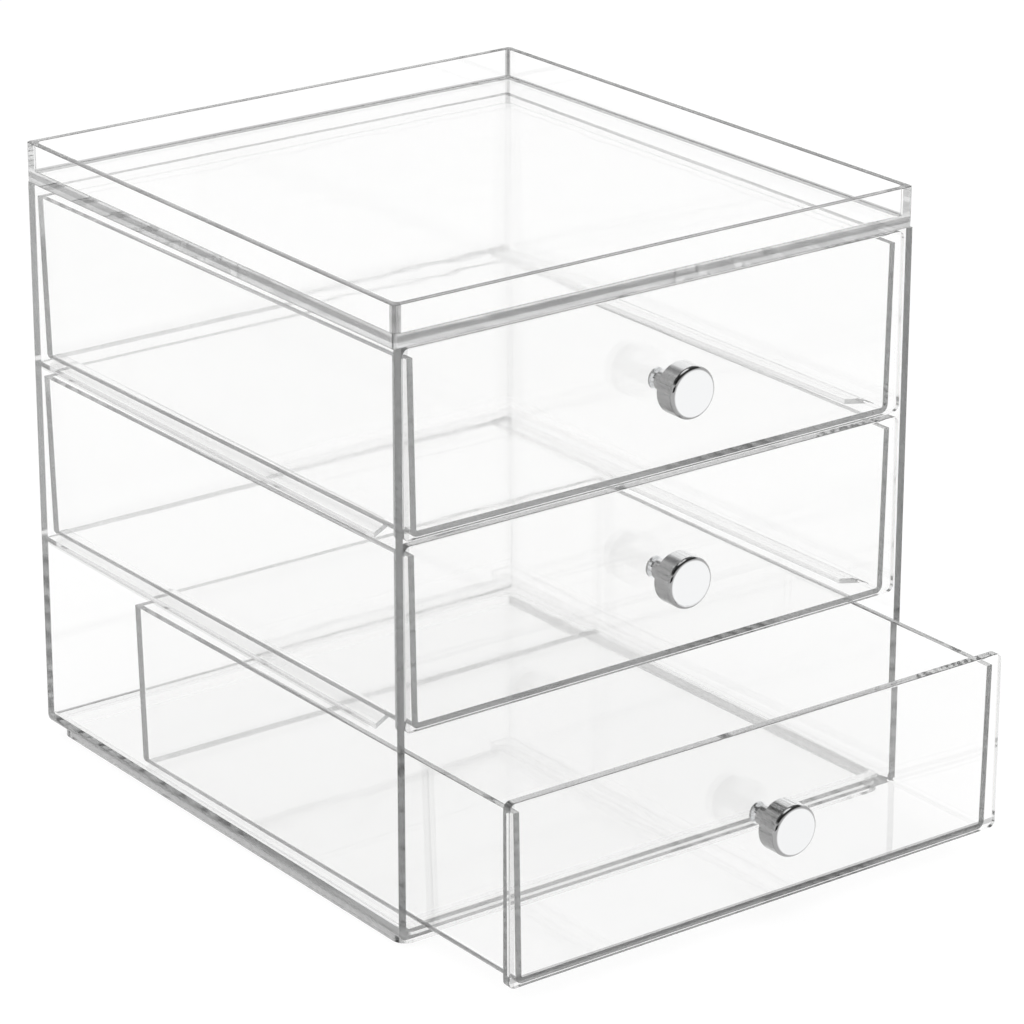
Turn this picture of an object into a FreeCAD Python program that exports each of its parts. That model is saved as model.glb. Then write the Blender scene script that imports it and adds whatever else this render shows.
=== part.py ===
import FreeCAD, Part
import os
import Sketcher

# A clear desk organiser: a moulded case, open at the front, that holds three
# identical drawers one above the other and carries a shallow tray bonded on top.
#
# World frame: X to the right along the front, -Y out of the front, +Z up.
# The origin is the middle of the surface that the case stands on.
# Every moulded body is drawn with y = 0 at the case front, so that y is a
# distance behind the front, and its Placement brings it to the world frame.

SLACK = 0.01  # millimetres within which an edge counts as lying at a place

# alias, millimetres, meaning
SIZES = [
    ("case_width", 165.0, "outside width of the case at its front"),
    ("case_depth", 172.0, "outside depth of the case"),
    ("side_draft", 2.0, "how far each side leans in from front to back"),
    ("case_wall", 2.2, "side and back walls of the case"),
    ("case_floor", 2.9, "floor of the case"),
    ("case_edge_radius", 2.5, "outer rounding along the bottom of the sides"),
    ("case_rear_radius", 0.8, "outer rounding round the back of the case"),
    ("case_inner_radius", 1.0, "rounding along the inside bottom of the case"),
    ("case_inner_rear_radius", 0.5, "rounding round the inside back of the case"),
    ("foot_height", 3.0, "height of the foot ring under the floor"),
    ("foot_wall", 2.5, "thickness of the foot ring"),
    ("foot_corner_radius", 4.0, "outer corners of the foot ring"),
    ("stack_gap", 0.8, "play of a foot ring inside the tray rim of a case below"),
    ("bond_line", 0.1, "adhesive between the case walls and the tray"),
    ("tray_floor", 3.0, "floor of the top tray"),
    ("rim_height", 8.0, "height of the tray rim above its floor"),
    ("rim_wall", 2.0, "thickness of the tray rim"),
    ("tray_corner_radius", 1.2, "outer corners of the tray"),
    ("tray_inner_radius", 1.5, "inner corners of the tray"),
    ("tray_cove", 0.5, "rounding where the tray floor meets its rim"),
    ("rim_round", 0.2, "rounding on the top of the tray rim"),
    ("ledge_width", 7.2, "how far each drawer ledge reaches in from the wall"),
    ("ledge_thickness", 1.4, "thickness of a drawer ledge"),
    ("ledge_setback", 10.0, "front end of a ledge behind the case front"),
    ("ledge_lead_in", 5.0, "how far the front end of a ledge slants back to its tip"),
    ("running_gap", 0.3, "play under a drawer, over its ledges or the case floor"),
    ("plate_height", 49.8, "height of a drawer front plate"),
    ("plate_thickness", 2.5, "thickness of a drawer front plate"),
    ("plate_side_gap", 0.3, "play between a front plate and the case walls"),
    ("plate_gap", 1.2, "play between the two upper front plates"),
    ("low_plate_gap", 3.3, "space between the two lower front plates"),
    ("plate_top_gap", 0.5, "play over the highest front plate"),
    ("plate_corner_radius", 2.0, "corners of a front plate"),
    ("plate_round", 0.3, "rounding on the front edges of a front plate"),
    ("tub_wall", 1.8, "side and back walls of a drawer"),
    ("tub_floor", 1.6, "floor of a drawer"),
    ("tub_lift", 0.1, "underside of a drawer above the lower edge of its plate"),
    ("tub_rim_drop", 3.3, "rim of a drawer below the upper edge of its plate"),
    ("tub_side_gap", 0.5, "play between a closed drawer's back rim and the case sides"),
    ("tub_back_gap", 0.3, "play behind a closed drawer"),
    ("tub_draft", 0.8, "how far each drawer wall leans in from rim to floor"),
    ("tub_bottom_radius", 2.2, "outer rounding along the bottom of a drawer"),
    ("tub_back_radius", 0.6, "outer rounding round the back of a drawer"),
    ("tub_inner_back_radius", 0.3, "inner rounding round the back of a drawer"),
    ("knob_diameter", 14.0, "disc of a knob"),
    ("knob_length", 6.3, "length of the disc of a knob"),
    ("knob_round", 1.2, "rounding on the front edge of a knob"),
    ("knob_rise", 0.5, "axis of a knob above the middle of its plate"),
    ("neck_diameter", 5.6, "neck between a knob and its plate"),
    ("neck_length", 6.5, "length of the neck"),
    ("seat_gap", 0.05, "play where a knob or a screw head seats on its plate"),
    ("screw_diameter", 2.9, "shank of a knob screw"),
    ("thread_gap", 0.05, "play of a screw in its knob, on the radius"),
    ("hole_gap", 0.25, "play of a screw in its plate, on the radius"),
    ("screw_reach", 7.0, "length of a screw inside its knob"),
    ("bore_spare", 1.0, "depth of the knob bore past the end of the screw"),
    ("head_diameter", 6.0, "head of a knob screw"),
    ("head_height", 2.3, "height of the domed screw head"),
    ("head_rim", 0.6, "straight rim of the screw head below its dome"),
    ("crown_diameter", 2.7, "flat crown of the screw head"),
    ("recess_width", 0.8, "slots of the cross recess in a screw head"),
    ("recess_span", 3.2, "length of each slot of the cross recess"),
    ("recess_depth", 1.2, "depth of the cross recess"),
    ("open_bottom", 43.0, "how far the lowest drawer stands open at rest"),
]

document = FreeCAD.newDocument("organizer")
sheet = document.addObject("Spreadsheet::Sheet", "sizes")
for row, (alias, value, meaning) in enumerate(SIZES, 1):
    sheet.set(f"A{row}", alias)
    sheet.set(f"B{row}", str(value))
    sheet.set(f"C{row}", meaning)
    sheet.setAlias(f"B{row}", alias)
document.recompute()

# Heights and insets that more than one piece follows, as sheet expressions.
CASE_FLOOR_TOP = "(sizes.foot_height + sizes.case_floor)"
FIRST_PLATE = f"({CASE_FLOOR_TOP} + sizes.running_gap - sizes.tub_lift)"
SECOND_PLATE = f"({FIRST_PLATE} + sizes.plate_height + sizes.low_plate_gap)"
THIRD_PLATE = f"({SECOND_PLATE} + sizes.plate_height + sizes.plate_gap)"
TRAY_UNDERSIDE = f"({THIRD_PLATE} + sizes.plate_height + sizes.plate_top_gap)"
TUB_RIM = "(sizes.plate_height - sizes.tub_rim_drop)"
TUB_RIM_INSET = "(sizes.case_wall + sizes.tub_side_gap)"
TUB_BACK = "(sizes.case_depth - sizes.case_wall - sizes.tub_back_gap)"
FOOT_INSET = "(sizes.rim_wall + sizes.stack_gap)"

# Each drawer, with the height of its front plate's lower edge.
DRAWERS = {"bottom": FIRST_PLATE, "middle": SECOND_PLATE, "top": THIRD_PLATE}


def size(alias):
    """A driving dimension as a number, for picking edges and for checks."""
    return float(sheet.get(alias))


def half_width(behind, inset):
    """Expression for the half width of the drafted plan, inset from its outside."""
    lean = f"sizes.side_draft * ({behind}) / sizes.case_depth"
    return f"(sizes.case_width / 2 - {lean} - ({inset}))"


# ---------------------------------------------------------------- sketches


def new_body(name):
    body = document.addObject("PartDesign::Body", name)
    body.Label = name
    return body


def place(body, back=None, height=None):
    """Bind the body's place: y back from the world origin, z above the ground."""
    if back:
        body.setExpression("Placement.Base.y", back)
    if height:
        body.setExpression("Placement.Base.z", height)


def new_sketch(body, name, plane, offset=None):
    """A sketch on one of the body's own origin planes, moved along its normal."""
    sketch = body.newObject("Sketcher::SketchObject", name)
    base = [item for item in body.Origin.OriginFeatures if item.Role == plane][0]
    sketch.AttachmentSupport = [(base, "")]
    sketch.MapMode = "FlatFace"
    if offset:
        sketch.setExpression("AttachmentOffset.Base.z", offset)
    return sketch


def dimension(sketch, kind, geometry, point, side, expression):
    """Bind one coordinate of a sketch point, on the plus or minus side of the axis."""
    ends = (-1, 1, geometry, point) if side > 0 else (geometry, point, -1, 1)
    index = sketch.addConstraint(Sketcher.Constraint(kind, *ends, 5.0))
    sketch.setExpression(f"Constraints[{index}]", expression)


def polygon(sketch, corners):
    """Closed outline; a corner is (x side, x expression, y side, y expression)."""
    start = sketch.GeometryCount
    seeds = [
        FreeCAD.Vector(x_side * (10 + index), y_side * (10 + index), 0)
        for index, (x_side, _, y_side, _) in enumerate(corners)
    ]
    for index, seed in enumerate(seeds):
        follower = seeds[(index + 1) % len(seeds)]
        sketch.addGeometry(Part.LineSegment(seed, follower))
    for index in range(len(corners)):
        follower = start + (index + 1) % len(corners)
        joint = Sketcher.Constraint("Coincident", start + index, 2, follower, 1)
        sketch.addConstraint(joint)
    for index, (x_side, x_expression, y_side, y_expression) in enumerate(corners):
        dimension(sketch, "DistanceX", start + index, 1, x_side, x_expression)
        dimension(sketch, "DistanceY", start + index, 1, y_side, y_expression)


def four_sided(sketch, near, far, near_half, far_half):
    """Outline from near to far behind the front, the same left and right."""
    polygon(
        sketch,
        [
            (-1, near_half, 1, near),
            (1, near_half, 1, near),
            (1, far_half, 1, far),
            (-1, far_half, 1, far),
        ],
    )


def plan(sketch, near, far, inset):
    """Outline that follows the drafted sides of the case."""
    four_sided(sketch, near, far, half_width(near, inset), half_width(far, inset))


def tub_plan(sketch, near, far, inset):
    """Outline with parallel sides that fit the case where it is narrowest."""
    half = half_width(TUB_BACK, inset)
    four_sided(sketch, near, far, half, half)


def circle(sketch, height, radius):
    """Circle centred on the vertical sketch axis at the given height."""
    middle = FreeCAD.Vector(0, 10, 0)
    ring = sketch.addGeometry(Part.Circle(middle, FreeCAD.Vector(0, 0, 1), 2))
    sketch.addConstraint(Sketcher.Constraint("PointOnObject", ring, 3, -2))
    dimension(sketch, "DistanceY", ring, 3, 1, height)
    index = sketch.addConstraint(Sketcher.Constraint("Radius", ring, 2.0))
    sketch.setExpression(f"Constraints[{index}]", radius)


# ---------------------------------------------------------------- features


def pad(body, sketch, name, length, reverse=False):
    feature = body.newObject("PartDesign::Pad", name)
    feature.Profile = sketch
    feature.Reversed = reverse
    feature.setExpression("Length", length)
    document.recompute()
    return feature


def pocket(body, sketch, name, length, reverse=False):
    """Cut along the sketch normal backwards, or forwards when reversed."""
    before = body.Shape.Volume
    feature = body.newObject("PartDesign::Pocket", name)
    feature.Profile = sketch
    feature.Reversed = reverse
    feature.setExpression("Length", length)
    document.recompute()
    assert body.Shape.Volume < before, f"{body.Label}: {name} cuts nothing"
    return feature


def loft(body, kind, name, lower, upper):
    feature = body.newObject(f"PartDesign::{kind}Loft", name)
    feature.Profile = lower
    feature.Sections = [upper]
    feature.Ruled = True
    document.recompute()
    return feature


def fillet(body, name, radius, wanted):
    """Round the edges of the body so far for which wanted(edge) is true."""
    base = body.Tip
    edges = [
        f"Edge{index}"
        for index, edge in enumerate(base.Shape.Edges, 1)
        if wanted(edge)
    ]
    assert edges, f"{body.Label}: {name} finds no edge"
    feature = body.newObject("PartDesign::Fillet", name)
    feature.Base = (base, edges)
    feature.Refine = False
    feature.setExpression("Radius", radius)
    document.recompute()
    return feature


def near_to(value, target):
    return abs(value - target) < SLACK


def upright_edge(edge):
    box = edge.BoundBox
    return near_to(box.XLength, 0) and near_to(box.YLength, 0)


def turn(body, sketch, name):
    """Turn a half section about the front-to-back axis of its sketch."""
    feature = body.newObject("PartDesign::Revolution", name)
    feature.Profile = sketch
    feature.ReferenceAxis = (sketch, ["H_Axis"])
    feature.Angle = 360
    document.recompute()
    return feature


# ------------------------------------------------------------------- case


def make_case():
    """Walls, back, floor, two pairs of ledges and the foot ring, one moulding."""
    body = new_body("case_shell")
    underside = size("foot_height")
    floor_top = underside + size("case_floor")
    depth = size("case_depth")
    inner_back = depth - size("case_wall")

    foot = new_sketch(body, "foot_outline", "XY_Plane")
    foot_far = f"sizes.case_depth - {FOOT_INSET}"
    plan(foot, FOOT_INSET, foot_far, FOOT_INSET)
    inner_foot = f"({FOOT_INSET} + sizes.foot_wall)"
    plan(foot, inner_foot, f"sizes.case_depth - {inner_foot}", inner_foot)
    pad(body, foot, "foot_ring", "sizes.foot_height")
    foot_back = body.Shape.BoundBox.YMax

    def corner_at(edge, back):
        """True for an upright edge as far behind as back, or as near the front."""
        box = edge.BoundBox
        at_end = near_to(box.YMax, back) or near_to(box.YMin, depth - back)
        return upright_edge(edge) and at_end

    def foot_outer_corner(edge):
        return corner_at(edge, foot_back)

    def foot_inner_corner(edge):
        return corner_at(edge, foot_back - size("foot_wall"))

    fillet(body, "foot_outer_corners", "sizes.foot_corner_radius", foot_outer_corner)
    inner_radius = "sizes.foot_corner_radius - sizes.foot_wall"
    fillet(body, "foot_inner_corners", inner_radius, foot_inner_corner)

    outline = new_sketch(body, "case_outline", "XY_Plane", "sizes.foot_height")
    plan(outline, "0", "sizes.case_depth", "0")
    wall_height = f"{TRAY_UNDERSIDE} - sizes.bond_line - sizes.foot_height"
    pad(body, outline, "case_block", wall_height)
    wall_top = body.Shape.BoundBox.ZMax

    def side_bottom_edge(edge):
        box = edge.BoundBox
        outermost = near_to(max(-box.XMin, box.XMax), size("case_width") / 2)
        return near_to(box.ZMax, underside) and outermost and box.YLength > depth / 2

    def rear_edge(edge):
        box = edge.BoundBox
        return near_to(box.YMin, depth) and not near_to(box.ZMin, wall_top)

    fillet(body, "side_edges", "sizes.case_edge_radius", side_bottom_edge)
    fillet(body, "rear_edges", "sizes.case_rear_radius", rear_edge)

    inside = new_sketch(body, "case_inside", "XY_Plane", CASE_FLOOR_TOP)
    plan(inside, "0", "sizes.case_depth - sizes.case_wall", "sizes.case_wall")
    pocket(body, inside, "drawer_space", wall_height, reverse=True)

    def inner_side_edge(edge):
        box = edge.BoundBox
        along = box.YLength > depth / 2 and near_to(box.ZLength, 0)
        return along and near_to(box.ZMin, floor_top)

    def inner_rear_edge(edge):
        box = edge.BoundBox
        on_back = near_to(box.YMin, inner_back) and near_to(box.YMax, inner_back)
        return on_back and not near_to(box.ZMin, wall_top)

    fillet(body, "inner_side_edges", "sizes.case_inner_radius", inner_side_edge)
    fillet(body, "inner_rear_edges", "sizes.case_inner_rear_radius", inner_rear_edge)

    # The lowest drawer slides on the floor, the other two on ledges.
    near_root = "sizes.ledge_setback"
    near_tip = "(sizes.ledge_setback + sizes.ledge_lead_in)"
    far = "sizes.case_depth - sizes.case_wall / 2"
    root = "sizes.case_wall / 2"
    tip = "sizes.case_wall + sizes.ledge_width"
    for drawer in ("middle", "top"):
        ledge_top = f"{DRAWERS[drawer]} + sizes.tub_lift - sizes.running_gap"
        ledge_base = f"{ledge_top} - sizes.ledge_thickness"
        ledges = new_sketch(body, f"{drawer}_ledge_outline", "XY_Plane", ledge_base)
        for side in (-1, 1):
            polygon(
                ledges,
                [
                    (side, half_width(near_root, root), 1, near_root),
                    (side, half_width(near_tip, tip), 1, near_tip),
                    (side, half_width(far, tip), 1, far),
                    (side, half_width(far, root), 1, far),
                ],
            )
        pad(body, ledges, f"{drawer}_ledges", "sizes.ledge_thickness")
    place(body, back="-sizes.case_depth / 2")
    return body


def make_tray():
    """Shallow tray with a raised rim; its floor closes the top of the case."""
    body = new_body("top_tray")
    floor_top = size("tray_floor")
    height = floor_top + size("rim_height")

    outline = new_sketch(body, "tray_outline", "XY_Plane")
    plan(outline, "0", "sizes.case_depth", "0")
    pad(body, outline, "tray_block", "sizes.tray_floor + sizes.rim_height")
    fillet(body, "tray_corners", "sizes.tray_corner_radius", upright_edge)

    recess = new_sketch(body, "tray_recess", "XY_Plane", "sizes.tray_floor")
    far = "sizes.case_depth - sizes.rim_wall"
    plan(recess, "sizes.rim_wall", far, "sizes.rim_wall")
    pocket(body, recess, "tray_space", "sizes.rim_height", reverse=True)

    def inner_corner(edge):
        return upright_edge(edge) and near_to(edge.BoundBox.ZMin, floor_top)

    def cove_edge(edge):
        box = edge.BoundBox
        return near_to(box.ZMin, floor_top) and near_to(box.ZMax, floor_top)

    def rim_edge(edge):
        return near_to(edge.BoundBox.ZMin, height)

    fillet(body, "recess_corners", "sizes.tray_inner_radius", inner_corner)
    fillet(body, "recess_cove", "sizes.tray_cove", cove_edge)
    fillet(body, "rim_edges", "sizes.rim_round", rim_edge)
    place(body, back="-sizes.case_depth / 2", height=TRAY_UNDERSIDE)
    return body


# ---------------------------------------------------------------- drawers


def make_drawer(name, back, height):
    """One moulding: an open tub behind a taller, wider front plate."""
    body = new_body(name)
    plate_back = size("plate_thickness")
    tub_base = size("tub_lift")

    plate = new_sketch(body, f"{name}_plate_outline", "XZ_Plane")
    plate_half = half_width("0", "sizes.case_wall + sizes.plate_side_gap")
    polygon(
        plate,
        [
            (-1, plate_half, 1, "0"),
            (1, plate_half, 1, "0"),
            (1, plate_half, 1, "sizes.plate_height"),
            (-1, plate_half, 1, "sizes.plate_height"),
        ],
    )
    pad(body, plate, f"{name}_plate", "sizes.plate_thickness", reverse=True)

    def plate_corner(edge):
        return near_to(edge.BoundBox.YLength, plate_back)

    def plate_front(edge):
        return near_to(edge.BoundBox.YMax, 0)

    fillet(body, f"{name}_plate_corners", "sizes.plate_corner_radius", plate_corner)
    fillet(body, f"{name}_plate_edges", "sizes.plate_round", plate_front)

    root = "sizes.plate_thickness / 2"
    low_inset = f"({TUB_RIM_INSET} + sizes.tub_draft)"
    low_back = f"({TUB_BACK} - sizes.tub_draft)"
    low = new_sketch(body, f"{name}_tub_base", "XY_Plane", "sizes.tub_lift")
    tub_plan(low, root, low_back, low_inset)
    high = new_sketch(body, f"{name}_tub_rim", "XY_Plane", TUB_RIM)
    tub_plan(high, root, TUB_BACK, TUB_RIM_INSET)
    loft(body, "Additive", f"{name}_tub", low, high)
    tub_rim = size("plate_height") - size("tub_rim_drop")
    tub_back = body.Shape.BoundBox.YMax
    tub_draft = size("tub_draft")

    def tub_bottom_edge(edge):
        box = edge.BoundBox
        along = box.YLength > tub_back / 2 and near_to(box.ZLength, 0)
        return along and near_to(box.ZMin, tub_base)

    def tub_back_edge(edge):
        box = edge.BoundBox
        at_back = box.YMin > tub_back - tub_draft - SLACK
        return at_back and not near_to(box.ZMin, tub_rim)

    fillet(body, f"{name}_tub_bottom", "sizes.tub_bottom_radius", tub_bottom_edge)
    fillet(body, f"{name}_tub_back", "sizes.tub_back_radius", tub_back_edge)

    floor = "(sizes.tub_lift + sizes.tub_floor)"
    inner_low = new_sketch(body, f"{name}_inner_base", "XY_Plane", floor)
    inner_back = f"{low_back} - sizes.tub_wall"
    inner_inset = f"{low_inset} + sizes.tub_wall"
    tub_plan(inner_low, "sizes.plate_thickness", inner_back, inner_inset)
    inner_high = new_sketch(body, f"{name}_inner_rim", "XY_Plane", TUB_RIM)
    inner_back = f"{TUB_BACK} - sizes.tub_wall"
    inner_inset = f"{TUB_RIM_INSET} + sizes.tub_wall"
    tub_plan(inner_high, "sizes.plate_thickness", inner_back, inner_inset)
    loft(body, "Subtractive", f"{name}_space", inner_low, inner_high)
    tub_floor_top = tub_base + size("tub_floor")
    inner_rim_back = tub_back - size("tub_wall")

    def inner_bottom_edge(edge):
        box = edge.BoundBox
        along = box.YLength > tub_back / 2 and near_to(box.ZLength, 0)
        return along and near_to(box.ZMin, tub_floor_top)

    def inner_back_edge(edge):
        box = edge.BoundBox
        foot_back = inner_rim_back - tub_draft
        at_back = foot_back - SLACK < box.YMin and box.YMax < inner_rim_back + SLACK
        return at_back and not near_to(box.ZMin, tub_rim)

    inner_radius = "sizes.tub_bottom_radius - sizes.tub_wall"
    fillet(body, f"{name}_inner_bottom", inner_radius, inner_bottom_edge)
    fillet(body, f"{name}_inner_back", "sizes.tub_inner_back_radius", inner_back_edge)

    hole = new_sketch(body, f"{name}_hole_outline", "XZ_Plane")
    hole_height = "sizes.plate_height / 2 + sizes.knob_rise"
    circle(hole, hole_height, "sizes.screw_diameter / 2 + sizes.hole_gap")
    pocket(body, hole, f"{name}_screw_hole", "sizes.plate_thickness")
    place(body, back, height)
    return body


def make_knob(name, back, height):
    """Turned knob: a disc on a slim neck, bored from behind for its screw."""
    body = new_body(name)
    section = new_sketch(body, f"{name}_section", "YZ_Plane")
    seat = "sizes.seat_gap"
    shoulder = f"({seat} + sizes.neck_length)"
    face = f"({shoulder} + sizes.knob_length)"
    bore_end = "(sizes.screw_reach + sizes.bore_spare)"
    neck = "sizes.neck_diameter / 2"
    rim = "sizes.knob_diameter / 2"
    bore = "sizes.screw_diameter / 2 + sizes.thread_gap"
    polygon(
        section,
        [
            (-1, seat, 1, bore),
            (-1, seat, 1, neck),
            (-1, shoulder, 1, neck),
            (-1, shoulder, 1, rim),
            (-1, face, 1, rim),
            (-1, face, 1, "0"),
            (-1, bore_end, 1, "0"),
            (-1, bore_end, 1, bore),
        ],
    )
    turn(body, section, f"{name}_turning")
    front = body.Shape.BoundBox.YMin
    rim_radius = size("knob_diameter") / 2

    def face_edge(edge):
        box = edge.BoundBox
        return near_to(box.YMax, front) and near_to(box.XMax, rim_radius)

    fillet(body, f"{name}_face_edge", "sizes.knob_round", face_edge)
    place(body, back, height)
    return body


def make_screw(name, back, height):
    """Domed cross-head screw that holds a knob from inside the drawer."""
    body = new_body(name)
    section = new_sketch(body, f"{name}_section", "YZ_Plane")
    seat = "(sizes.plate_thickness + sizes.seat_gap)"
    dome_foot = f"({seat} + sizes.head_rim)"
    crown = f"({seat} + sizes.head_height)"
    head = "sizes.head_diameter / 2"
    shank = "sizes.screw_diameter / 2"
    polygon(
        section,
        [
            (-1, "sizes.screw_reach", 1, "0"),
            (-1, "sizes.screw_reach", 1, shank),
            (1, seat, 1, shank),
            (1, seat, 1, head),
            (1, dome_foot, 1, head),
            (1, crown, 1, "sizes.crown_diameter / 2"),
            (1, crown, 1, "0"),
        ],
    )
    turn(body, section, f"{name}_turning")

    long_half = "sizes.recess_span / 2"
    short_half = "sizes.recess_width / 2"
    slots = [("level", long_half, short_half), ("upright", short_half, long_half)]
    for way, half_across, half_up in slots:
        slot = new_sketch(body, f"{name}_{way}_slot_outline", "XZ_Plane", f"-{crown}")
        polygon(
            slot,
            [
                (-1, half_across, -1, half_up),
                (1, half_across, -1, half_up),
                (1, half_across, 1, half_up),
                (-1, half_across, 1, half_up),
            ],
        )
        pocket(body, slot, f"{name}_{way}_slot", "sizes.recess_depth", reverse=True)
    place(body, back, height)
    return body


parts = [make_case(), make_tray()]
for drawer, plate_foot in DRAWERS.items():
    pulled = "sizes.case_depth / 2"
    if drawer == "bottom":
        pulled += " + sizes.open_bottom"
    knob_axis = f"{plate_foot} + sizes.plate_height / 2 + sizes.knob_rise"
    parts.append(make_drawer(f"drawer_{drawer}", f"-({pulled})", plate_foot))
    parts.append(make_knob(f"knob_{drawer}", f"-({pulled})", knob_axis))
    parts.append(make_screw(f"knob_screw_{drawer}", f"-({pulled})", knob_axis))
document.recompute()

for item in document.Objects:
    failed = {"Invalid", "Error"} & set(item.State)
    assert not failed, f"{item.Label}: {item.State}"
for part in parts:
    assert not part.Shape.isNull(), f"{part.Label} has no shape"
    assert part.Shape.isValid(), f"{part.Label} is not valid"
    assert len(part.Shape.Solids) == 1, f"{part.Label} is not one solid"

os.makedirs("parts", exist_ok=True)
for part in parts:
    part.Shape.exportStep(f"parts/{part.Label}.step")
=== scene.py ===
from math import radians

import bpy
from mathutils import Matrix, Vector


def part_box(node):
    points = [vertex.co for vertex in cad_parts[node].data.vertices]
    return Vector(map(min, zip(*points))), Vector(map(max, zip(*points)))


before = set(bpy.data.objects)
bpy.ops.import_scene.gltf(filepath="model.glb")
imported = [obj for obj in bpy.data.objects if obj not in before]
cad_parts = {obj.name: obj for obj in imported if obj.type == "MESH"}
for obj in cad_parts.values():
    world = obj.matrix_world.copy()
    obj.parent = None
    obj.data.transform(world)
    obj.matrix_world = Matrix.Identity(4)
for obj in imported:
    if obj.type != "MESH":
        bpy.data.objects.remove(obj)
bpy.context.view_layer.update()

DRAWERS = ("bottom", "middle", "top")
OPEN_DRAWER = "bottom"
X, Y, Z = 0, 1, 2
WHITE = (1, 1, 1, 1)

# ------------------------------------------------------------------ node helpers


def new_tree(name):
    """An empty node material and its tree."""
    material = bpy.data.materials.new(name)
    material.use_nodes = True
    material.node_tree.nodes.clear()
    return material, material.node_tree


def add(tree, kind, **values):
    """A node with its properties and its unlinked inputs set by name."""
    node = tree.nodes.new(kind)
    for key, value in values.items():
        if hasattr(node, key):
            setattr(node, key, value)
        else:
            node.inputs[key.replace("_", " ")].default_value = value
    return node


def band(tree, source, low, high, bottom=0.0, top=1.0):
    """Map a socket from low..high to bottom..top, clamped."""
    ramp = add(tree, "ShaderNodeMapRange", From_Min=low, From_Max=high, To_Min=bottom, To_Max=top)
    tree.links.new(source, ramp.inputs["Value"])
    return ramp.outputs["Result"]


def both(tree, first, second, operation="MULTIPLY"):
    """Two sockets joined by a math operation."""
    step = add(tree, "ShaderNodeMath", operation=operation)
    tree.links.new(first, step.inputs[0])
    tree.links.new(second, step.inputs[1])
    return step.outputs[0]


def scaled(tree, source, share):
    """A socket times a fixed share."""
    step = add(tree, "ShaderNodeMath", operation="MULTIPLY")
    step.inputs[1].default_value = share
    tree.links.new(source, step.inputs[0])
    return step.outputs[0]


def split(tree, vector):
    """The three parts of a vector socket, indexed by X, Y and Z."""
    parts = add(tree, "ShaderNodeSeparateXYZ")
    tree.links.new(vector, parts.inputs[0])
    return parts.outputs


def noise(tree, place, **values):
    """Noise read at a place, from 0 to 1."""
    texture = add(tree, "ShaderNodeTexNoise", **values)
    tree.links.new(place, texture.inputs["Vector"])
    return texture.outputs["Fac"]


def rough_normal(tree, height, strength, distance):
    """The surface normal bent by a height."""
    bump = add(tree, "ShaderNodeBump", Strength=strength, Distance=distance)
    tree.links.new(height, bump.inputs["Height"])
    return bump.outputs["Normal"]


def blend(tree, factor, first, second):
    """One colour where the factor is 0 and another where it is 1."""
    mix = add(tree, "ShaderNodeMix", data_type="RGBA")
    tree.links.new(factor, mix.inputs["Factor"])
    sockets = [socket for socket in mix.inputs if socket.type == "RGBA"]
    for socket, colour in zip(sockets, (first, second)):
        socket.default_value = colour
    return next(socket for socket in mix.outputs if socket.type == "RGBA")


def either(tree, factor, first, second):
    """One shader where the factor is 0 and another where it is 1."""
    mix = add(tree, "ShaderNodeMixShader")
    for source, socket in zip((factor, first.outputs[0], second.outputs[0]), mix.inputs):
        tree.links.new(source, socket)
    return mix.outputs[0]


def facing(tree, normal, directions):
    """1 where the surface faces every direction listed as (axis, side, none, full).

    The normal's part along the axis gives 0 at none and 1 at full. Side 1 or -1 is
    one way along the axis, and side 0 takes both ways.
    """
    toward = split(tree, normal)
    found = None
    for axis, side, none, full in directions:
        if side == 0:
            size = add(tree, "ShaderNodeMath", operation="ABSOLUTE")
            tree.links.new(toward[axis], size.inputs[0])
            here = band(tree, size.outputs[0], none, full)
        else:
            here = band(tree, toward[axis], none * side, full * side)
        found = here if found is None else both(tree, found, here)
    return found


def beyond(tree, place, limits):
    """1 where the place lies past every limit listed as (axis, limit, side)."""
    soft_step = 0.0001
    parts = split(tree, place)
    found = None
    for axis, limit, side in limits:
        here = band(tree, parts[axis], limit, limit + soft_step * side)
        found = here if found is None else both(tree, found, here)
    return found


# --------------------------------------------------------------------- materials

CLEAR = (0.996, 0.996, 0.995, 1)
# Base colour of the painted shade on narrow edges of clear plastic.
PAINTED_EDGE_SHADE = (0.06, 0.06, 0.06, 1)
DEEP_GREY = (0.5, 0.505, 0.503, 1)
LAMP_LET_THROUGH = (0.972, 0.972, 0.97, 1)
ACRYLIC_IOR = 1.49

# Chrome base colours: painted light for the ends and crown, painted shade for the sides.
PAINTED_LIGHT_PLATING = (0.85, 0.855, 0.86, 1)
PAINTED_SHADE_PLATING = (0.36, 0.36, 0.36, 1)


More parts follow.
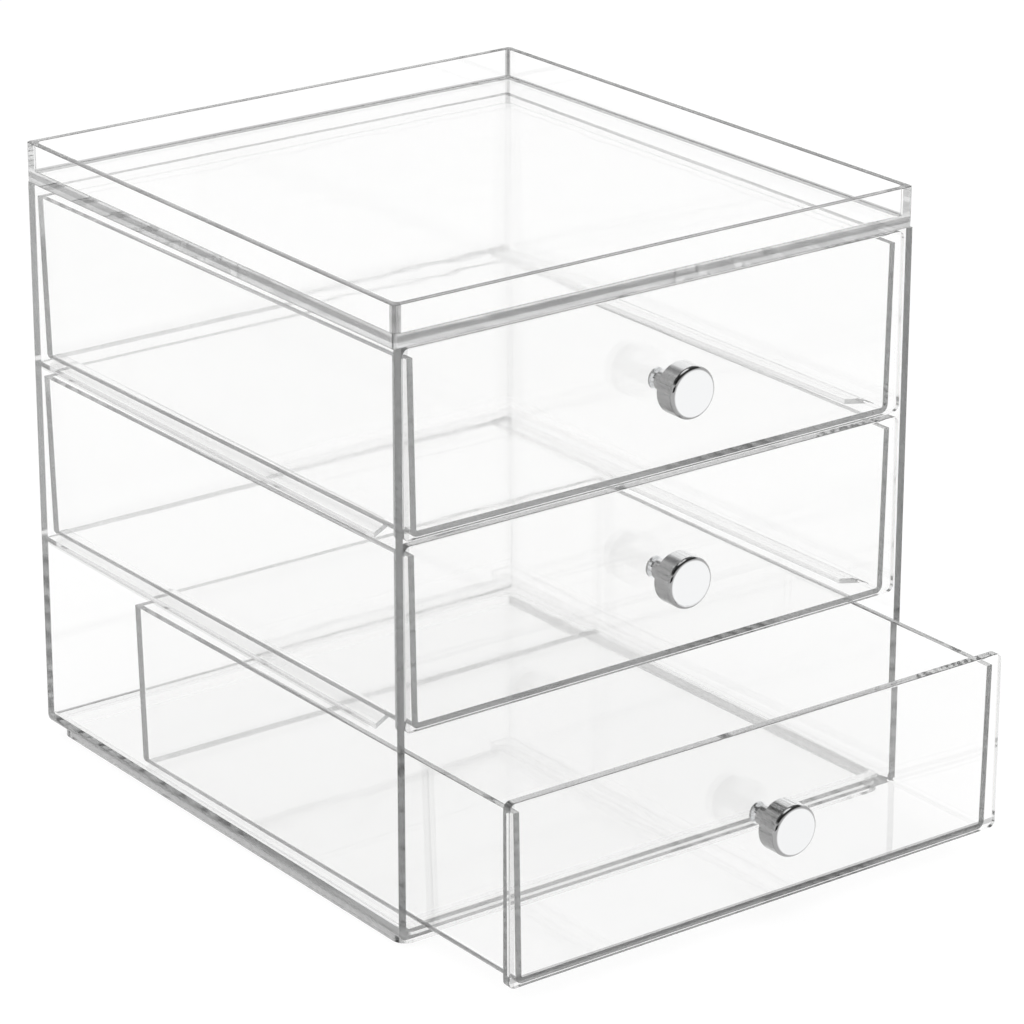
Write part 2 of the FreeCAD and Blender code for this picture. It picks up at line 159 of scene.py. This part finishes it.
def clear_plastic(name, edges, grain, density):
    """Polished clear plastic: moulding waves, faint haze, and painted shade on narrow edges.

    edges names the end faces and roundings of thin walls, where the grey of light
    piped along the wall is painted into the colour as painted shade, each with
    (directions faced, limits of the place, strength). The streaks in them are
    stretched along the axes that are small in grain.
    """
    material, tree = new_tree(name)
    link = tree.links.new
    inputs = add(tree, "ShaderNodeTexCoord")
    place, normal = inputs.outputs["Object"], inputs.outputs["Normal"]
    haze = noise(tree, place, Scale=90.0, Detail=5.0, Roughness=0.6)
    flow = noise(tree, place, Scale=45.0, Detail=1.0)
    stretch = add(tree, "ShaderNodeMapping", Scale=grain)
    link(place, stretch.inputs["Vector"])
    streak = noise(tree, stretch.outputs[0], Scale=420.0, Detail=3.0)
    # Painted shade: the strongest entry of the edge table at each place.
    edge = None
    for directions, limits, strength in edges.values():
        here = beyond(tree, place, limits)
        if directions:
            here = both(tree, here, facing(tree, normal, directions))
        here = scaled(tree, here, strength)
        edge = here if edge is None else both(tree, edge, here, "MAXIMUM")
    streaked = both(tree, edge, band(tree, streak, 0.35, 0.65, 0.85, 1.0))
    glass = add(tree, "ShaderNodeBsdfPrincipled", IOR=ACRYLIC_IOR, Transmission_Weight=1.0)
    # The base colour turns grey where the painted shade lies.
    link(blend(tree, streaked, CLEAR, PAINTED_EDGE_SHADE), glass.inputs["Base Color"])
    link(band(tree, haze, 0.4, 0.75, 0.01, 0.05), glass.inputs["Roughness"])
    link(rough_normal(tree, flow, 1.0, 0.00004), glass.inputs["Normal"])
    clear = add(tree, "ShaderNodeBsdfTransparent", Color=LAMP_LET_THROUGH)
    shadow = add(tree, "ShaderNodeLightPath").outputs["Is Shadow Ray"]
    body = add(tree, "ShaderNodeVolumeAbsorption", Color=DEEP_GREY, Density=density)
    out = add(tree, "ShaderNodeOutputMaterial")
    link(either(tree, shadow, glass, clear), out.inputs["Surface"])
    link(body.outputs[0], out.inputs["Volume"])
    return material


def chrome(name):
    """Plating over turned metal, with tiny pits and cleaner patches.

    The ends and the crown of each piece are painted brighter than its sides:
    painted light on them and painted shade on the sides.
    """
    material, tree = new_tree(name)
    link = tree.links.new
    inputs = add(tree, "ShaderNodeTexCoord")
    place, normal = inputs.outputs["Object"], inputs.outputs["Normal"]
    patch = noise(tree, place, Scale=220.0, Detail=4.0)
    pits = noise(tree, place, Scale=2400.0, Detail=2.0)
    # Painted light and shade: masks by facing pick the lighter or the darker base colour.
    ends = facing(tree, normal, [(Y, 0, 0.9, 0.99)])
    crown = facing(tree, normal, [(Z, 1, 0.7, 0.9)])
    bright = both(tree, ends, crown, "MAXIMUM")
    metal = add(tree, "ShaderNodeBsdfPrincipled", Metallic=1.0)
    link(blend(tree, bright, PAINTED_SHADE_PLATING, PAINTED_LIGHT_PLATING), metal.inputs["Base Color"])
    link(band(tree, patch, 0.3, 0.7, 0.03, 0.08), metal.inputs["Roughness"])
    link(rough_normal(tree, pits, 0.03, 0.0001), metal.inputs["Normal"])
    out = add(tree, "ShaderNodeOutputMaterial")
    link(metal.outputs[0], out.inputs["Surface"])
    return material


def dress(node, material):
    """Give a CAD node its material."""
    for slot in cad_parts[node].material_slots:
        slot.material = material


# Ways that a narrow face can look, as facing() takes them.
AHEAD = [(Y, -1, 0.75, 0.95)]
UPWARD = [(Z, 1, 0.75, 0.95)]
LEANING_UP = [(Z, 1, 0.3, 0.6)]
SIDEWAYS = [(X, 0, 0.5, 0.8)]
UPRIGHT = [(Z, 0, 0.3, 0.1)]
SIDE_FOOT = [(X, 0, 0.25, 0.5), (Z, -1, 0.25, 0.5)]
REAR_HOLLOW = [(Y, -1, 0.05, 0.3), (Z, 1, 0.05, 0.3)]
CORNER = [(X, 0, 0.25, 0.35), (Y, 0, 0.25, 0.35)]
ANY_WAY = []

SKIN = 0.0003  # metres behind a front face that still count as the face

# Scale of the streaks in the painted edge shade along X, Y and Z, and how strongly the plastic
# darkens light.
CASE_GRAIN, TRAY_GRAIN, DRAWER_GRAIN = (1, 1, 0.12), (0.12, 0.12, 1), (0.3, 0.3, 1)
WALL_DENSITY, TRAY_DENSITY = 10.0, 2.0


def case_edges():
    """The narrow faces of the case that get a grey painted shade."""
    front, rear = (corner[Y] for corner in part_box("case_shell"))
    foot_top, floor_top = 0.003, 0.0059
    hollow_height, hollow_depth, corner_depth = 0.002, 0.006, 0.002
    ledge_start, ledge_low, ledge_high = 0.0125, 0.0016, 0.0002
    at_front = (Y, front + SKIN, -1)
    in_hollow = [(Z, floor_top + hollow_height, -1), (Y, rear - hollow_depth, 1)]
    edges = {
        "wall_fronts": (AHEAD, [at_front, (Z, floor_top, 1)], 0.62),
        "floor_front": (AHEAD, [at_front, (Z, floor_top, -1)], 0.3),
        "foot_sides": (SIDEWAYS, [(Z, foot_top, -1)], 0.62),
        "bottom_roundings": (SIDE_FOOT, [(Z, floor_top, -1)], 0.68),
        "rear_hollow": (REAR_HOLLOW, in_hollow, 0.9),
        "rear_corners": (CORNER, [(Y, rear - corner_depth, 1), (Z, foot_top, 1)], 0.4),
    }
    for level in DRAWERS[1:]:
        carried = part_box(f"drawer_{level}")[0][Z]
        ledge = [(Z, carried - ledge_low, 1), (Z, carried - ledge_high, -1)]
        ledge.append((Y, front + ledge_start, 1))
        edges[f"ledges_{level}"] = (SIDEWAYS, ledge, 0.36)
    return edges


def tray_edges():
    """The narrow faces of the tray that get a grey painted shade."""
    foot, top = (corner[Z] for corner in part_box("top_tray"))
    rim_depth, line_low, line_high = 0.0004, 0.0014, 0.0031
    lowest_line, corner_foot = 0.0003, 0.003
    return {
        "rim": (LEANING_UP, [(Z, top - rim_depth, 1)], 0.93),
        "side_line": (UPRIGHT, [(Z, foot + line_low, 1), (Z, foot + line_high, -1)], 0.75),
        "lowest_line": (UPRIGHT, [(Z, foot + lowest_line, -1)], 0.6),
        "corners": (CORNER, [(Z, foot + corner_foot, 1)], 0.8),
    }


def drawer_edges(node):
    """The narrow faces of a drawer that get a grey painted shade."""
    (_, face, plate_foot), (plate_side, back, _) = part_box(node)
    rim_foot, rounding_height, plate_end = 0.0462, 0.003, 0.0016
    back_strip_height, back_strip_depth = 0.0004, 0.0045
    at_face = (Y, face + SKIN, -1)
    under_back = [(Z, plate_foot + back_strip_height, -1), (Y, back - back_strip_depth, 1)]
    return {
        "rims": (UPWARD, [(Z, plate_foot + rim_foot, 1)], 0.45),
        "bottom_roundings": (SIDE_FOOT, [(Z, plate_foot + rounding_height, -1)], 0.35),
        "under_back": (ANY_WAY, under_back, 0.8),
        "plate_right_end": (AHEAD, [at_face, (X, plate_side - plate_end, 1)], 0.2),
        "plate_left_end": (AHEAD, [at_face, (X, plate_end - plate_side, -1)], 0.3),
    }


def foot_line(node):
    """A line of painted shade near the foot of the plate, as the photo has on the open drawer."""
    _, face, plate_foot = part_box(node)[0]
    low, high = (Z, plate_foot + 0.0017, 1), (Z, plate_foot + 0.0032, -1)
    return (AHEAD, [(Y, face + SKIN, -1), low, high], 0.75)


dress("case_shell", clear_plastic("clear_case", case_edges(), CASE_GRAIN, WALL_DENSITY))
dress("top_tray", clear_plastic("clear_tray", tray_edges(), TRAY_GRAIN, TRAY_DENSITY))
plated = chrome("chrome_painted_light")
for level in DRAWERS:
    node = f"drawer_{level}"
    edges = drawer_edges(node)
    # The open drawer also gets a line of painted shade near the foot of its plate.
    if level == OPEN_DRAWER:
        edges["foot_line"] = foot_line(node)
    dress(node, clear_plastic(f"clear_{node}", edges, DRAWER_GRAIN, WALL_DENSITY))
    dress(f"knob_{level}", plated)
    dress(f"knob_screw_{level}", plated)

# ------------------------------------------------------------------ stage, light

FLOOR_SIDE, FLOOR_DROP = 12.0, 0.0003
SEEN_WHITE_SHARE = 0.85  # the rest of the floor's tone is lit, and keeps the shadow
LAMP_AIM = Vector((0, 0, 0.08))


def floor_sheet():
    """A pale matt sheet, nearly white to the camera and in metal and plastic."""
    mesh = bpy.data.meshes.new("floor")
    half = FLOOR_SIDE / 2
    corners = [(-half, -half, 0), (half, -half, 0), (half, half, 0), (-half, half, 0)]
    mesh.from_pydata(corners, [], [(0, 1, 2, 3)])
    sheet = bpy.data.objects.new("floor", mesh)
    bpy.context.scene.collection.objects.link(sheet)
    material, tree = new_tree("pale_floor")
    matt = add(tree, "ShaderNodeBsdfDiffuse", Color=(0.9, 0.9, 0.9, 1))
    plain = add(tree, "ShaderNodeEmission", Color=WHITE, Strength=1.0)
    ray = add(tree, "ShaderNodeLightPath").outputs
    seen = both(tree, ray["Is Camera Ray"], ray["Is Glossy Ray"], "MAXIMUM")
    seen = both(tree, seen, ray["Is Transmission Ray"], "MAXIMUM")
    out = add(tree, "ShaderNodeOutputMaterial")
    surface = either(tree, scaled(tree, seen, SEEN_WHITE_SHARE), matt, plain)
    tree.links.new(surface, out.inputs["Surface"])
    mesh.materials.append(material)
    sheet.location.z = -FLOOR_DROP


def studio_world():
    """White all round and overhead, with a dark ring between and a black card.

    Metal and rounded edges show these, which gives them depth. The card stands at
    the front left and leaves a slit, so that light inside the walls stays white.
    Heights and sides are parts of the direction looked in, so 1 is straight up.
    """
    world = bpy.data.worlds.new("studio")
    bpy.context.scene.world = world
    world.use_nodes = True
    tree = world.node_tree
    tree.nodes.clear()
    way = split(tree, add(tree, "ShaderNodeTexCoord").outputs["Generated"])
    ring = band(tree, way[Z], 0.42, 0.58, 1.0, 0.06)
    skylight = band(tree, way[Z], 0.92, 0.97)
    panel = both(tree, band(tree, way[Y], 0.6, 0.68), band(tree, way[Z], 0.62, 0.7, 1.0, 0.0))
    light = both(tree, both(tree, ring, skylight, "MAXIMUM"), panel, "MAXIMUM")
    quarter = both(tree, band(tree, way[X], -0.35, -0.5), band(tree, way[Y], -0.3, -0.45))
    under_slit, over_slit = band(tree, way[Z], 0.33, 0.3), band(tree, way[Z], 0.4, 0.43)
    card = both(tree, quarter, both(tree, under_slit, over_slit, "MAXIMUM"))
    room = add(tree, "ShaderNodeBackground")
    tree.links.new(both(tree, light, band(tree, card, 0.0, 1.0, 1.0, 0.0)), room.inputs["Color"])
    plain = add(tree, "ShaderNodeBackground", Color=WHITE, Strength=1.0)
    ray = add(tree, "ShaderNodeLightPath").outputs
    open_view = both(tree, ray["Is Camera Ray"], ray["Is Diffuse Ray"], "MAXIMUM")
    out = add(tree, "ShaderNodeOutputWorld")
    tree.links.new(either(tree, open_view, room, plain), out.inputs["Surface"])


def softbox(name, place, width, height, power):
    """A soft lamp aimed at the object, unseen in metal and plastic."""
    data = bpy.data.lights.new(name, "AREA")
    data.shape, data.size, data.size_y, data.energy = "RECTANGLE", width, height, power
    lamp = bpy.data.objects.new(name, data)
    bpy.context.scene.collection.objects.link(lamp)
    lamp.location = place
    lamp.rotation_euler = (LAMP_AIM - Vector(place)).to_track_quat("-Z", "Y").to_euler()
    lamp.visible_glossy = lamp.visible_transmission = False


floor_sheet()
studio_world()
softbox("key_softbox", (-0.5, -0.5, 1.3), 1.0, 0.8, 14.0)
softbox("fill_softbox", (1.2, -0.6, 0.9), 0.7, 0.9, 6.0)

# ------------------------------------------------------------------------ camera

LENS_MM, SENSOR_MM = 162.66, 36.0
CAMERA_PLACE = (-0.68774, -0.94232, 0.5198)
VIEW_AZIMUTH, VIEW_ELEVATION, VIEW_ROLL = -36.8007, 20.9262, 0.0479

camera_data = bpy.data.cameras.new("camera")
camera_data.lens, camera_data.sensor_width = LENS_MM, SENSOR_MM
camera = bpy.data.objects.new("camera", camera_data)
bpy.context.scene.collection.objects.link(camera)
camera.matrix_world = (
    Matrix.Translation(CAMERA_PLACE)
    @ Matrix.Rotation(radians(VIEW_AZIMUTH), 4, "Z")
    @ Matrix.Rotation(radians(90 - VIEW_ELEVATION), 4, "X")
    @ Matrix.Rotation(radians(VIEW_ROLL), 4, "Z")
)

scene = bpy.context.scene
scene.camera = camera
scene.view_settings.view_transform = "Standard"
# Light inside a clear wall bounces many times before it comes out at an end.
LIGHT_BOUNCES, LAYERS_LET_THROUGH = 128, 32
scene.cycles.max_bounces = LIGHT_BOUNCES
scene.cycles.transmission_bounces = LIGHT_BOUNCES
scene.cycles.glossy_bounces = LIGHT_BOUNCES
scene.cycles.transparent_max_bounces = LAYERS_LET_THROUGH
